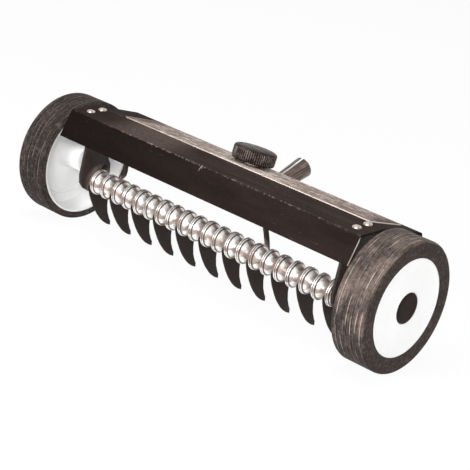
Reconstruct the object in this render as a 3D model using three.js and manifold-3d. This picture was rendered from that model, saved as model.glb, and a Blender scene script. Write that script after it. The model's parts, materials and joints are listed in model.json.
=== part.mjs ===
// Rolling lawn aerator head: a folded steel deck on two wheels over a row of
// curved tines and spacer spools on one shaft. Millimetres, Z up, Y to the
// rear (the handle side), X along the wheel axle, drawn from the axle line.
import * as THREE from "three";
import { mergeVertices } from "three/addons/utils/BufferGeometryUtils.js";
import Module from "manifold-3d";

const wasm = await Module();
wasm.setup();

// Clearances and cuts
const MOULD_GAP = 0.2;
const BORE_GAP = 0.2;
const STUD_GAP = 0.4;
const RUNNING_FIT = 0.08;
const END_PLAY = 0.2;
const FACE_GAP = 0.05;
const ROW_GAP = 0.25;
const STAY_GAP = 0.3;
const CUT_OVERRUN = 2;

// Row of tines and spools
const TINE_COUNT = 11;
const SPOOLS_PER_TINE = 2;
const TINE_THICKNESS = 1.6;
const TINE_EYE_RADIUS = 12.3;
const TINE_REACH = 47.4;
const SPOOL_LENGTH = 13.65;
const SPOOL_RADIUS = 12.6;
const SHAFT_Y = -6.1;
const SHAFT_Z = -12.6;
const SHAFT_RADIUS = 4;
const SPOOL_COUNT = TINE_COUNT * SPOOLS_PER_TINE - 1;
const PITCH = TINE_THICKNESS + SPOOLS_PER_TINE * SPOOL_LENGTH + (SPOOLS_PER_TINE + 1) * ROW_GAP;
const ROW_LENGTH = TINE_COUNT * TINE_THICKNESS + SPOOL_COUNT * SPOOL_LENGTH
  + (TINE_COUNT + SPOOL_COUNT + 1) * ROW_GAP;

// Brackets, rivets and nuts
const PLATE_THICKNESS = 3;
const PLATE_INNER_X = ROW_LENGTH / 2;
const PLATE_OUTER_X = PLATE_INNER_X + PLATE_THICKNESS;
const BRACKET_WIDTH = 38.5;
const FLANGE_WIDTH = 14.5;
const FLANGE_INSET_FRONT = 6;
const FLANGE_INSET_REAR = 2;
const BRACE_LENGTH = 27;
const RIVET_INSET = 7.6;
const RIVET_X = PLATE_INNER_X + FLANGE_WIDTH - RIVET_INSET;
const RIVET_HEAD_RADIUS = 4.1;
const RIVET_HEAD_HEIGHT = 1.9;
const RIVET_SHANK_RADIUS = 2.4;
const RIVET_TAIL_RADIUS = 3.2;
const RIVET_TAIL_HEIGHT = 1.6;
const NUT_FLATS = 13;
const NUT_HEIGHT = 6.5;
const THREAD_END = 2.6;

// Deck section, front skirt to rear flange, in the YZ plane
const SKIRT_BOTTOM = [-47.1, 30.4];
const FOLD = [-36.4, 55.7];
const RIDGE = [-4.1, 58.0];
const REAR_EDGE = [56.6, 47.7];
const REAR_FLANGE = 10;
const DECK_OVERHANG = 20.7;
const DECK_HALF_LENGTH = PLATE_INNER_X + DECK_OVERHANG;
const SHEET = 2;
const BEND_RADIUS = 3.2;

// Label plate
const LABEL_INSET = 26;
const LABEL_SHIFT = 10;
const LABEL_START = 1.2;
const LABEL_WIDTH = 52;
const LABEL_THICKNESS = 0.8;
const LABEL_CORNER = 5;

// Stays
const STAY_WIDTH = 5;
const STAY_THICKNESS = 2.5;
const STAY_TINES = [2, 8];

// Wheels
const WHEEL_GAP = 3.8;
const WHEEL_INNER_X = DECK_HALF_LENGTH + WHEEL_GAP;
const WHEEL_RADIUS = 60;
const WHEEL_WIDTH = 33.8;
const TYRE_FACE = 15.2;
const TYRE_THICKNESS = 6.1;
const DISC_RADIUS = WHEEL_RADIUS - TYRE_FACE;
const CUP_RADIUS = WHEEL_RADIUS - TYRE_THICKNESS;
const LIP_DEPTH = 4.3;
const DISC_RECESS = 0.8;
const DISC_FRONT = WHEEL_WIDTH - DISC_RECESS;
const BARREL_INSET = 0.8;
const BARREL_END = WHEEL_WIDTH - LIP_DEPTH - MOULD_GAP;
const RIM_WALL = 2.1;
const RIM_DISC = 3;

// Stub axles, washers, hubs and caps
const AXLE_RADIUS = 5;
const AXLE_NECK_RADIUS = 4;
const AXLE_SHOULDER_RADIUS = 6;
const WASHER_RADIUS = 8.6;
const WASHER_THICKNESS = 1.3;
const WASHER_GAP = 1;
const HUB_START = 0.7;
const HUB_WALL = 3.4;
const HUB_POCKET = 5.5;
const POCKET_RADIUS = WASHER_RADIUS + WASHER_GAP;
const HUB_RADIUS = POCKET_RADIUS + HUB_WALL;
const CAP_SEAT = 1.5;
const CAP_THICKNESS = 2.2;
const CAP_OVERLAP = 0.9;
const CAP_RADIUS = HUB_RADIUS + CAP_OVERLAP;
const SEAT_X = DISC_FRONT - CAP_SEAT;
const POCKET_X = SEAT_X - HUB_POCKET;

// Knob and stud, measured along the label face and up from it
const KNOB_ALONG = 31.04;
const KNOB_RADIUS = 20.6;
const KNOB_BASE = 3.4;
const KNOB_HEIGHT = 14.8;
const KNOB_BORE = 8;
const KNOB_HUB_RADIUS = 6.4;
const STUD_RADIUS = 3.9;

// Handle socket: a strap under the deck, bent down into a flared tube
const SOCKET_MOUTH = [105.6, 45.3];
const SOCKET_TILT_DEGREES = 23;
const SOCKET_LENGTH = 45;
const SOCKET_MOUTH_RADIUS = 10.1;
const SOCKET_NECK_RADIUS = 8.2;
const SOCKET_WALL = 1.6;
const SOCKET_SLIT = 2.6;
const STRAP_WIDTH = 26;
const STRAP_THICKNESS = 3.2;
const STRAP_LEAD = 18.7;
const STRAP_TRAIL = 9.7;
const STRAP_BEND = 4.8;

// Facets
const WHEEL_SIDES = 48;
const KNOB_SIDES = 48;
const TUBE_SIDES = 24;
const SPOOL_SIDES = 16;
const SMALL_SIDES = 16;
const EYE_STEPS = 12;
const BEND_STEPS = 4;
const TRIANGLE = 3;
const FULL_TURN = Math.PI * 2;
const QUARTER_TURN = Math.PI / 2;

// Shares of the sizes that the outlines follow

// [y, z] from the axle line, of the bracket's width, front edge first
const BRACKET_EDGE_SHARES = [
  [-0.753, 0.545], [-0.779, 0.104], [-0.792, -0.117], [-0.748, -0.338], [-0.613, -0.481],
  [-0.416, -0.579], [-0.208, -0.634], [-0.013, -0.592], [0.119, -0.442], [0.192, -0.234],
  [0.208, -0.052], [0.182, 0.117], [0.094, 0.247], [0.036, 0.416], [0.01, 0.675], [0.03, 0.85],
  [0.091, 0.98], [0.26, 1.04], [0.571, 1.12],
];

// [y, z] from the shaft, of the tine's reach: down the rear edge, up the front
const TINE_EDGE_SHARES = [
  [0.335, -0.274], [0.348, -0.401], [0.365, -0.549], [0.411, -0.707], [0.485, -0.844], [0.534, -0.911],
  [0.549, -1], [0.443, -0.968], [0.344, -0.914], [0.257, -0.852], [0.175, -0.776], [0.105, -0.707],
  [0.04, -0.629], [-0.027, -0.542], [-0.091, -0.445], [-0.148, -0.357], [-0.194, -0.268],
  [-0.23, -0.19], [-0.257, -0.118],
];

// Start and end of the tine's round eye, of a full turn
const TINE_EYE_SHARES = [0.512, -0.038];

// [y, z] of each stay's middle line from the shaft, of the tine eye's radius
const STAY_LINE_SHARES = [
  [[0.211, 3.252], [0.195, 2.114], [0.227, 1.667], [0.179, 1.406], [0.033, 1.268], [-0.203, 1.236]],
  [
    [0.244, 3.252], [0.423, 2.074], [0.586, 1.748], [0.756, 1.366], [0.918, 0.976], [1.073, 0.528],
    [1.187, 0.081],
  ],
];

// [along, radius] of the spool's length and radius
const SPOOL_PROFILE_SHARES = [
  [0, 0.95], [0.04, 1], [0.16, 1], [0.22, 0.92], [0.34, 0.79], [0.48, 0.67], [0.62, 0.59], [1, 0.57],
];

// [along, drop] of the wheel's width and the tyre's face
const TYRE_PROFILE_SHARES = [
  [0, 0.071], [0.036, 0], [0.93, 0.005], [0.97, 0.035], [0.992, 0.09], [1, 0.16], [1, 0.5],
  [0.992, 0.85],
];

// [height, radius] of the knob's height and radius
const KNOB_PROFILE_SHARES = [
  [0, 0.93], [0.12, 1], [0.76, 1], [0.89, 0.95], [0.96, 0.8], [1, 0.45],
];
const KNOB_HUB_FLARE_SHARE = 1.1;

const RIVET_PLACE_SHARES = [0.362, 0.83];
const RIVET_SHOULDER_SHARE = 0.45;
const RIVET_CROWN_SHARE = 0.62;
const ROD_CHAMFER_SHARE = 0.18;
const CAP_EDGE_SHARE = 0.65;
const CAP_FACE_SHARE = 0.9;

// Distances from the socket's mouth, of its length
const SOCKET_BEND_SHARE = 1.4;
const SOCKET_SWELL_SHARE = 1.267;
const SOCKET_THROAT_SHARE = 1.111;
const SOCKET_FLARE_SHARE = 0.489;
const SOCKET_BORE_SHARE = 0.978;
const SOCKET_SLIT_SHARE = 0.8;
// [width of the strap, height of the neck, corner] of the sections in between
const SOCKET_SWELL_SHARES = [0.88, 0.42, 0.525];
const SOCKET_THROAT_SHARES = [0.7, 0.84, 0.9];
const SOCKET_WAIST_SHARE = 1.08;
const STRAP_CORNER_SHARE = 0.35;
const STRAP_FALL_START_SHARE = 0.08;
const STRAP_FALL_END_SHARE = 0.9;
const STRAP_NARROW_SHARE = 0.97;
const STRAP_THICK_SHARE = 1.15;

function material(name, colour, metalness, roughness) {
  const made = new THREE.MeshStandardMaterial({ color: colour, metalness, roughness });
  made.name = name;
  return made;
}

const MATERIALS = {
  deckPaint: material("deck_paint", 0x241e1c, 0.2, 0.5),
  label: material("label_foil", 0x8f8078, 0.3, 0.5),
  bracketPaint: material("bracket_paint", 0x241d1b, 0.2, 0.55),
  tineSteel: material("tine_black", 0x231c1b, 0.2, 0.6),
  spool: material("spool_aluminium", 0xc9bfb9, 0.9, 0.25),
  zinc: material("zinc_steel", 0x8d8681, 0.8, 0.4),
  rivet: material("rivet_aluminium", 0xd8ccc6, 0.5, 0.4),
  tyre: material("tyre_rubber", 0x3b302c, 0, 0.85),
  rim: material("rim_plastic", 0xf4f4f4, 0, 0.5),
  cap: material("cap_plastic", 0x2a211f, 0, 0.5),
  knob: material("knob_plastic", 0x2c2523, 0, 0.45),
  socket: material("socket_steel", 0x4a3d38, 0.6, 0.4),
};

// Closed meshes, joined and cut

function welded(geometry) {
  const bare = geometry.clone();
  bare.deleteAttribute("normal");
  bare.deleteAttribute("uv");
  return mergeVertices(bare);
}

function solid(geometry) {
  const shell = welded(geometry);
  return new wasm.Manifold(new wasm.Mesh({
    numProp: 3,
    vertProperties: new Float32Array(shell.attributes.position.array),
    triVerts: new Uint32Array(shell.index.array),
  }));
}

function joined(parts, cutters) {
  const whole = parts.map(solid).reduce((body, part) => body.add(part));
  const mesh = cutters.map(solid).reduce((body, cutter) => body.subtract(cutter), whole).getMesh();
  const geometry = new THREE.BufferGeometry();
  geometry.setAttribute("position", new THREE.BufferAttribute(new Float32Array(mesh.vertProperties), 3));
  geometry.setIndex(new THREE.BufferAttribute(new Uint32Array(mesh.triVerts), 1));
  return geometry;
}

function signedVolume(geometry) {
  const corners = [new THREE.Vector3(), new THREE.Vector3(), new THREE.Vector3()];
  let volume = 0;
  for (let i = 0; i < geometry.index.count; i += TRIANGLE) {
    corners.forEach((corner, j) => {
      corner.fromBufferAttribute(geometry.attributes.position, geometry.index.getX(i + j));
    });
    volume += corners[0].dot(corners[1].cross(corners[2]));
  }
  return volume;
}

function facingOut(geometry) {
  if (signedVolume(geometry) < 0) geometry.index.array.reverse();
  return geometry;
}

function withoutSlivers(geometry) {
  const index = Array.from(geometry.index.array);
  const kept = [];
  for (let i = 0; i < index.length; i += TRIANGLE) {
    const corners = index.slice(i, i + TRIANGLE);
    if (new Set(corners).size === TRIANGLE) kept.push(...corners);
  }
  geometry.setIndex(kept);
  return geometry;
}

// Outline [along, radius], closed or from axis to axis, turned about X
function turned(outline, sides) {
  const points = outline.map(([along, radius]) => new THREE.Vector2(radius, along));
  const fromAxisToAxis = outline[0][1] === 0 && outline[outline.length - 1][1] === 0;
  if (!fromAxisToAxis) points.push(points[0].clone());
  const geometry = new THREE.LatheGeometry(points, sides);
  geometry.rotateZ(-QUARTER_TURN);
  return facingOut(withoutSlivers(welded(geometry)));
}

function rod(radius, from, to, sides = SMALL_SIDES) {
  return turned([[from, 0], [from, radius], [to, radius], [to, 0]], sides);
}

function extruded(outline, depth, holes) {
  const points = (line) => line.map(([a, b]) => new THREE.Vector2(a, b));
  const shape = new THREE.Shape(points(outline));
  holes.forEach((hole) => shape.holes.push(new THREE.Path(points(hole))));
  return new THREE.ExtrudeGeometry(shape, { depth, bevelEnabled: false });
}

// Outline [y, z] extruded along X between two places
function prism(outline, [from, to], holes = []) {
  const geometry = extruded(outline, to - from, holes);
  geometry.applyMatrix4(new THREE.Matrix4().set(0, 0, 1, from, 1, 0, 0, 0, 0, 1, 0, 0, 0, 0, 0, 1));
  return geometry;
}

// Places along X on the left (-1) or right (1) side, lower one first
function onSide(side, near, far) {
  return side < 0 ? [-far, -near] : [near, far];
}

// Outlines and lines

function circle(a, b, radius, sides = SMALL_SIDES, start = 0) {
  return Array.from({ length: sides }, (_, i) => {
    const angle = start + (i / sides) * FULL_TURN;
    return [a + radius * Math.cos(angle), b + radius * Math.sin(angle)];
  });
}

function hexagon(a, b, flats) {
  return circle(a, b, flats / Math.sqrt(3), 6, Math.PI / 6);
}

function scaled(shares, size) {
  return shares.map((pair) => pair.map((share) => share * size));
}

function stretched(shares, length, radius) {
  return shares.map(([along, out]) => [length * along, radius * out]);
}

function unit([y, z]) {
  const length = Math.hypot(y, z);
  return [y / length, z / length];
}

function angleTo([y, z], [toY, toZ]) {
  return Math.atan2(toZ - z, toY - y);
}

function roundedCorner(before, corner, after, radius, steps) {
  const [y, z] = corner;
  const back = unit([before[0] - y, before[1] - z]);
  const ahead = unit([after[0] - y, after[1] - z]);
  const half = Math.acos(back[0] * ahead[0] + back[1] * ahead[1]) / 2;
  const inward = unit([back[0] + ahead[0], back[1] + ahead[1]]);
  const depth = radius / Math.sin(half);
  const reach = radius / Math.tan(half);
  const centre = [y + inward[0] * depth, z + inward[1] * depth];
  const start = angleTo(centre, [y + back[0] * reach, z + back[1] * reach]);
  let sweep = angleTo(centre, [y + ahead[0] * reach, z + ahead[1] * reach]) - start;
  if (sweep > Math.PI) sweep -= FULL_TURN;
  if (sweep < -Math.PI) sweep += FULL_TURN;
  return Array.from({ length: steps + 1 }, (_, i) => {
    const angle = start + (sweep * i) / steps;
    return [centre[0] + radius * Math.cos(angle), centre[1] + radius * Math.sin(angle)];
  });
}

// Open line with every inner corner rounded
function rounded(line, radius, steps) {
  const inner = line.slice(1, -1).flatMap((corner, i) => (
    roundedCorner(line[i], corner, line[i + 2], radius, steps)
  ));
  return [line[0], ...inner, line[line.length - 1]];
}

// Line moved sideways, to the right of its run, with mitred corners
function offset(line, distance) {
  const runs = line.slice(1).map(([y, z], i) => unit([y - line[i][0], z - line[i][1]]));
  return line.map(([y, z], i) => {
    const first = runs[Math.max(i - 1, 0)];
    const second = runs[Math.min(i, runs.length - 1)];
    const sum = unit([first[0] + second[0], first[1] + second[1]]);
    const stretch = distance / (sum[0] * first[0] + sum[1] * first[1]);
    return [y + sum[1] * stretch, z - sum[0] * stretch];
  });
}

function strip(line, thickness) {
  return [...line, ...offset(line, thickness).reverse()];
}

// Faces of the deck, with places measured along them and out from them

function face(start, end) {
  const [uy, uz] = unit([end[0] - start[0], end[1] - start[1]]);
  const length = Math.hypot(end[0] - start[0], end[1] - start[1]);
  const at = (along, out) => [start[0] + uy * along - uz * out, start[1] + uz * along + uy * out];
  const frame = new THREE.Matrix4().set(
    1, 0, 0, 0,
    0, uy, -uz, start[0],
    0, uz, uy, start[1],
    0, 0, 0, 1,
  );
  return { at, length, frame, up: [-uz, uy] };
}

const TOP_FACE = face(FOLD, RIDGE);
const LABEL_FACE = face(RIDGE, REAR_EDGE);

// Turned outline [height, radius] standing on a face
function standing(outline, plane, x, along, sides = SMALL_SIDES) {
  const geometry = turned(outline, sides);
  geometry.rotateY(-QUARTER_TURN);
  geometry.translate(x, along, 0);
  geometry.applyMatrix4(plane.frame);
  return geometry;
}

// Flat piece with an outline [x, along], lying on a face between two heights
function lying(outline, plane, [bottom, top], holes) {
  const geometry = extruded(outline, top - bottom, holes);
  geometry.translate(0, 0, bottom);
  geometry.applyMatrix4(plane.frame);
  return geometry;
}

function boreThrough(radius, bottom, top, plane, x, along) {
  const from = bottom - CUT_OVERRUN;
  const to = top + CUT_OVERRUN;
  return standing([[from, 0], [from, radius], [to, radius], [to, 0]], plane, x, along);
}

function rivetBore(side, share, bottom) {
  const radius = RIVET_SHANK_RADIUS + BORE_GAP;
  return boreThrough(radius, bottom, 0, TOP_FACE, side * RIVET_X, TOP_FACE.length * share);
}

// Deck and label plate

function deck() {
  const line = [SKIRT_BOTTOM, FOLD, RIDGE, REAR_EDGE, [REAR_EDGE[0], REAR_EDGE[1] - REAR_FLANGE]];
  const outline = strip(rounded(line, BEND_RADIUS, BEND_STEPS), SHEET);
  const sheet = prism(outline, [-DECK_HALF_LENGTH, DECK_HALF_LENGTH]);
  const sides = [-1, 1];
  const bores = RIVET_PLACE_SHARES.flatMap((share) => sides.map((side) => rivetBore(side, share, -SHEET)));
  const studBore = boreThrough(STUD_RADIUS + STUD_GAP, -SHEET, 0, LABEL_FACE, 0, KNOB_ALONG);
  return joined([sheet], [...bores, studBore]);
}

function labelPlate() {
  const right = DECK_HALF_LENGTH - LABEL_INSET + LABEL_SHIFT;
  const left = LABEL_INSET + LABEL_SHIFT - DECK_HALF_LENGTH;
  const start = LABEL_START;
  const end = LABEL_START + LABEL_WIDTH;
  const round = [[0, start], [right, start], [right, end], [left, end], [left, start], [0, start]];
  const outline = rounded(round, LABEL_CORNER, BEND_STEPS).slice(1);
  const hole = circle(0, KNOB_ALONG, STUD_RADIUS + STUD_GAP);
  return lying(outline, LABEL_FACE, [FACE_GAP, FACE_GAP + LABEL_THICKNESS], [hole]);
}

// Brackets and rivets

const BRACKET_TOP = -SHEET - FACE_GAP;
const BRACKET_BOTTOM = BRACKET_TOP - PLATE_THICKNESS;
const UNDER_DECK = offset([FOLD, RIDGE, REAR_EDGE], -BRACKET_TOP);

function bracket(side) {
  const front = FLANGE_INSET_FRONT;
  const rear = TOP_FACE.length - FLANGE_INSET_REAR;
  const edge = scaled(BRACKET_EDGE_SHARES, BRACKET_WIDTH);
  const brace = LABEL_FACE.at(BRACE_LENGTH, BRACKET_TOP);
  const outline = [TOP_FACE.at(front, BRACKET_TOP), ...edge, brace, UNDER_DECK[1]];
  const holes = [
    circle(0, 0, AXLE_NECK_RADIUS + BORE_GAP),
    circle(SHAFT_Y, SHAFT_Z, SHAFT_RADIUS + BORE_GAP),
  ];
  const plate = prism(outline, onSide(side, PLATE_INNER_X, PLATE_OUTER_X), holes);
  const section = [
    TOP_FACE.at(front, BRACKET_TOP), TOP_FACE.at(front, BRACKET_BOTTOM),
    TOP_FACE.at(rear, BRACKET_BOTTOM), TOP_FACE.at(rear, BRACKET_TOP),
  ];
  const flange = prism(section, onSide(side, PLATE_INNER_X, PLATE_INNER_X + FLANGE_WIDTH));
  const bores = RIVET_PLACE_SHARES.map((share) => rivetBore(side, share, BRACKET_BOTTOM));
  return joined([plate, flange], bores);
}

function rivet(side, share) {
  const bottom = BRACKET_BOTTOM - FACE_GAP;
  const outline = [
    [bottom - RIVET_TAIL_HEIGHT, 0],
    [bottom - RIVET_TAIL_HEIGHT, RIVET_TAIL_RADIUS],
    [bottom, RIVET_TAIL_RADIUS],
    [bottom, RIVET_SHANK_RADIUS],
    [FACE_GAP, RIVET_SHANK_RADIUS],
    [FACE_GAP, RIVET_HEAD_RADIUS],
    [RIVET_HEAD_HEIGHT * RIVET_SHOULDER_SHARE, RIVET_HEAD_RADIUS],
    [RIVET_HEAD_HEIGHT, RIVET_HEAD_RADIUS * RIVET_CROWN_SHARE],
    [RIVET_HEAD_HEIGHT, 0],
  ];
  return standing(outline, TOP_FACE, side * RIVET_X, TOP_FACE.length * share);
}

// Shaft, nuts, spools and tines

function tineShaft() {
  const end = PLATE_OUTER_X + FACE_GAP + NUT_HEIGHT + THREAD_END;
  const chamfer = SHAFT_RADIUS * ROD_CHAMFER_SHARE;
  const outline = [
    [-end, 0], [-end, SHAFT_RADIUS - chamfer], [-end + chamfer, SHAFT_RADIUS],
    [end - chamfer, SHAFT_RADIUS], [end, SHAFT_RADIUS - chamfer], [end, 0],
  ];
  const geometry = turned(outline, SMALL_SIDES);
  geometry.translate(0, SHAFT_Y, SHAFT_Z);
  return geometry;
}

const shaftBore = () => circle(SHAFT_Y, SHAFT_Z, SHAFT_RADIUS + BORE_GAP);

function shaftNut(side) {
  const near = PLATE_OUTER_X + FACE_GAP;
  return prism(hexagon(SHAFT_Y, SHAFT_Z, NUT_FLATS), onSide(side, near, near + NUT_HEIGHT), [shaftBore()]);
}

function spool(from) {
  const bore = SHAFT_RADIUS + BORE_GAP;
  const surface = stretched(SPOOL_PROFILE_SHARES, SPOOL_LENGTH, SPOOL_RADIUS);
  const geometry = turned([[0, bore], ...surface, [SPOOL_LENGTH, bore]], SPOOL_SIDES);
  geometry.translate(from, SHAFT_Y, SHAFT_Z);
  return geometry;
}

function tine(from) {
  const [start, end] = TINE_EYE_SHARES;
  const eye = Array.from({ length: EYE_STEPS }, (_, i) => {
    const angle = (start + ((end - start) * i) / (EYE_STEPS - 1)) * FULL_TURN;
    return [TINE_EYE_RADIUS * Math.cos(angle), TINE_EYE_RADIUS * Math.sin(angle)];
  });
  const outline = [...eye, ...scaled(TINE_EDGE_SHARES, TINE_REACH)];
  const placed = outline.map(([y, z]) => [SHAFT_Y + y, SHAFT_Z + z]);
  return prism(placed, [from, from + TINE_THICKNESS], [shaftBore()]);
}

// Stays from the deck down to the eyes of two tines

function stay(order) {
  const tineStart = -PLATE_INNER_X + ROW_GAP + (STAY_TINES[order] - 1) * PITCH;
  const from = tineStart + (TINE_THICKNESS - STAY_THICKNESS) / 2;
  const to = from + STAY_THICKNESS;
  const cut = [from - CUT_OVERRUN, to + CUT_OVERRUN];
  const line = scaled(STAY_LINE_SHARES[order], TINE_EYE_RADIUS).map(([y, z]) => [SHAFT_Y + y, SHAFT_Z + z]);
  const high = RIDGE[1] + SHEET;
  const middle = offset([[line[0][0], high], ...line], -STAY_WIDTH / 2);
  const blank = prism(strip(middle, STAY_WIDTH), [from, to]);
  const eye = rod(TINE_EYE_RADIUS + STAY_GAP, ...cut, WHEEL_SIDES);
  eye.translate(0, SHAFT_Y, SHAFT_Z);
  const above = high + CUT_OVERRUN;
  const overDeck = prism([...UNDER_DECK, [REAR_EDGE[0], above], [FOLD[0], above]], cut);
  return joined([blank], [eye, overDeck]);
}

// Wheels: every outline runs from the inner face of the wheel outwards

function tyreOutline() {
  const tread = stretched(TYRE_PROFILE_SHARES, WHEEL_WIDTH, TYRE_FACE).map(([along, drop]) => (
    [along, WHEEL_RADIUS - drop]
  ));
  return [
    [0, CUP_RADIUS], ...tread, [DISC_FRONT, DISC_RADIUS],
    [WHEEL_WIDTH - LIP_DEPTH, DISC_RADIUS], [WHEEL_WIDTH - LIP_DEPTH, CUP_RADIUS],
  ];
}

function rimOutline() {
  const outer = CUP_RADIUS - MOULD_GAP;
  const inner = outer - RIM_WALL;
  const plate = DISC_RADIUS - MOULD_GAP;
  const step = plate - RIM_WALL;
  const seat = CAP_RADIUS + MOULD_GAP * 2;
  const discBack = DISC_FRONT - RIM_DISC;
  const bore = AXLE_RADIUS + RUNNING_FIT;
  return [
    [BARREL_INSET, inner], [BARREL_INSET, outer], [BARREL_END, outer], [BARREL_END, plate],
    [DISC_FRONT, plate], [DISC_FRONT, seat], [SEAT_X, seat], [SEAT_X, POCKET_RADIUS],
    [POCKET_X, POCKET_RADIUS], [POCKET_X, bore], [HUB_START, bore], [HUB_START, HUB_RADIUS],
    [discBack - RIM_WALL, HUB_RADIUS], [discBack, HUB_RADIUS + RIM_WALL], [discBack, step],
    [BARREL_END - RIM_DISC, step], [BARREL_END - RIM_DISC, inner],
  ];
}

function capOutline() {
  const seat = SEAT_X + FACE_GAP;
  const front = seat + CAP_THICKNESS;
  return [
    [seat, 0], [seat, CAP_RADIUS], [seat + CAP_THICKNESS * CAP_EDGE_SHARE, CAP_RADIUS],
    [front, CAP_RADIUS * CAP_FACE_SHARE], [front, 0],
  ];
}

function axleOutline() {
  const inner = PLATE_INNER_X + FACE_GAP - WHEEL_INNER_X;
  const shoulder = PLATE_OUTER_X + FACE_GAP - WHEEL_INNER_X;
  const hub = HUB_START - END_PLAY;
  const end = POCKET_X + END_PLAY + WASHER_THICKNESS + THREAD_END;
  const chamfer = AXLE_RADIUS * ROD_CHAMFER_SHARE;
  return [
    [inner, 0], [inner, AXLE_NECK_RADIUS], [shoulder, AXLE_NECK_RADIUS], [shoulder, AXLE_SHOULDER_RADIUS],
    [hub, AXLE_SHOULDER_RADIUS], [hub, AXLE_RADIUS], [end - chamfer, AXLE_RADIUS],
    [end, AXLE_RADIUS - chamfer], [end, 0],
  ];
}

function washerOutline() {
  const start = POCKET_X + END_PLAY;
  const end = start + WASHER_THICKNESS;
  const bore = AXLE_RADIUS + BORE_GAP;
  return [[start, bore], [start, WASHER_RADIUS], [end, WASHER_RADIUS], [end, bore]];
}

function wheelPiece(outline, side, sides) {
  return turned(outline.map(([along, radius]) => [side * (WHEEL_INNER_X + along), radius]), sides);
}

// Knob, stud and clamp nut, square to the label face

const STRAP_TOP = -SHEET - FACE_GAP * 2;
const CLAMP_NUT_TOP = STRAP_TOP - STRAP_THICKNESS - FACE_GAP * 2;
const STUD_END = CLAMP_NUT_TOP - NUT_HEIGHT - THREAD_END;

function knob() {
  const foot = FACE_GAP + LABEL_THICKNESS + MOULD_GAP;
  const bore = STUD_RADIUS + MOULD_GAP;
  const boreEnd = KNOB_BASE + KNOB_BORE;
  const top = KNOB_BASE + KNOB_HEIGHT;
  const grip = stretched(KNOB_PROFILE_SHARES, KNOB_HEIGHT, KNOB_RADIUS).map(([height, radius]) => (
    [KNOB_BASE + height, radius]
  ));
  const outline = [
    [boreEnd, 0], [boreEnd, bore], [foot, bore], [foot, KNOB_HUB_RADIUS],
    [KNOB_BASE, KNOB_HUB_RADIUS * KNOB_HUB_FLARE_SHARE], ...grip, [top, 0],
  ];
  return standing(outline, LABEL_FACE, 0, KNOB_ALONG, KNOB_SIDES);
}

function knobStud() {
  const top = KNOB_BASE + KNOB_BORE - FACE_GAP;
  const outline = [[STUD_END, 0], [STUD_END, STUD_RADIUS], [top, STUD_RADIUS], [top, 0]];
  return standing(outline, LABEL_FACE, 0, KNOB_ALONG);
}

function clampNut() {
  const hole = circle(0, KNOB_ALONG, STUD_RADIUS + BORE_GAP);
  const heights = [CLAMP_NUT_TOP - NUT_HEIGHT, CLAMP_NUT_TOP];
  return lying(hexagon(0, KNOB_ALONG, NUT_FLATS), LABEL_FACE, heights, [hole]);
}

// Handle socket: flat strap at the front, then round and flared, with a slit
// along the top of its open end

function ring({ centre, up, wide, high, corner }) {
  const pulled = (value) => Math.sign(value) * Math.abs(value) ** corner;
  return Array.from({ length: TUBE_SIDES }, (_, i) => {
    const angle = (i / TUBE_SIDES) * FULL_TURN;
    const rise = pulled(Math.sin(angle)) * high;
    return [pulled(Math.cos(angle)) * wide, centre[0] + up[0] * rise, centre[1] + up[1] * rise];
  });
}

function lofted(sections) {
  const positions = sections.flatMap(ring).flat();
  const last = (sections.length - 1) * TUBE_SIDES;
  const index = [];
  for (let start = 0; start < last; start += TUBE_SIDES) {
    for (let i = 0; i < TUBE_SIDES; i += 1) {
      const a = start + i;
      const b = start + ((i + 1) % TUBE_SIDES);
      index.push(a, b, a + TUBE_SIDES, b, b + TUBE_SIDES, a + TUBE_SIDES);
    }
  }
  for (let i = 1; i < TUBE_SIDES - 1; i += 1) {
    index.push(0, i + 1, i, last, last + i, last + i + 1);
  }
  const geometry = new THREE.BufferGeometry();
  geometry.setAttribute("position", new THREE.Float32BufferAttribute(positions, 3));
  geometry.setIndex(index);
  return facingOut(geometry);
}

const SOCKET_TILT = THREE.MathUtils.degToRad(SOCKET_TILT_DEGREES);
const SOCKET_RUN = [Math.cos(SOCKET_TILT), Math.sin(SOCKET_TILT)];
const SOCKET_UP = [-SOCKET_RUN[1], SOCKET_RUN[0]];

function onSocket(back, rise = 0) {
  return SOCKET_MOUTH.map((value, i) => value - SOCKET_RUN[i] * back + SOCKET_UP[i] * rise);
}

function roundSection(share, radius) {
  return { centre: onSocket(SOCKET_LENGTH * share), up: SOCKET_UP, wide: radius, high: radius, corner: 1 };
}

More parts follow.
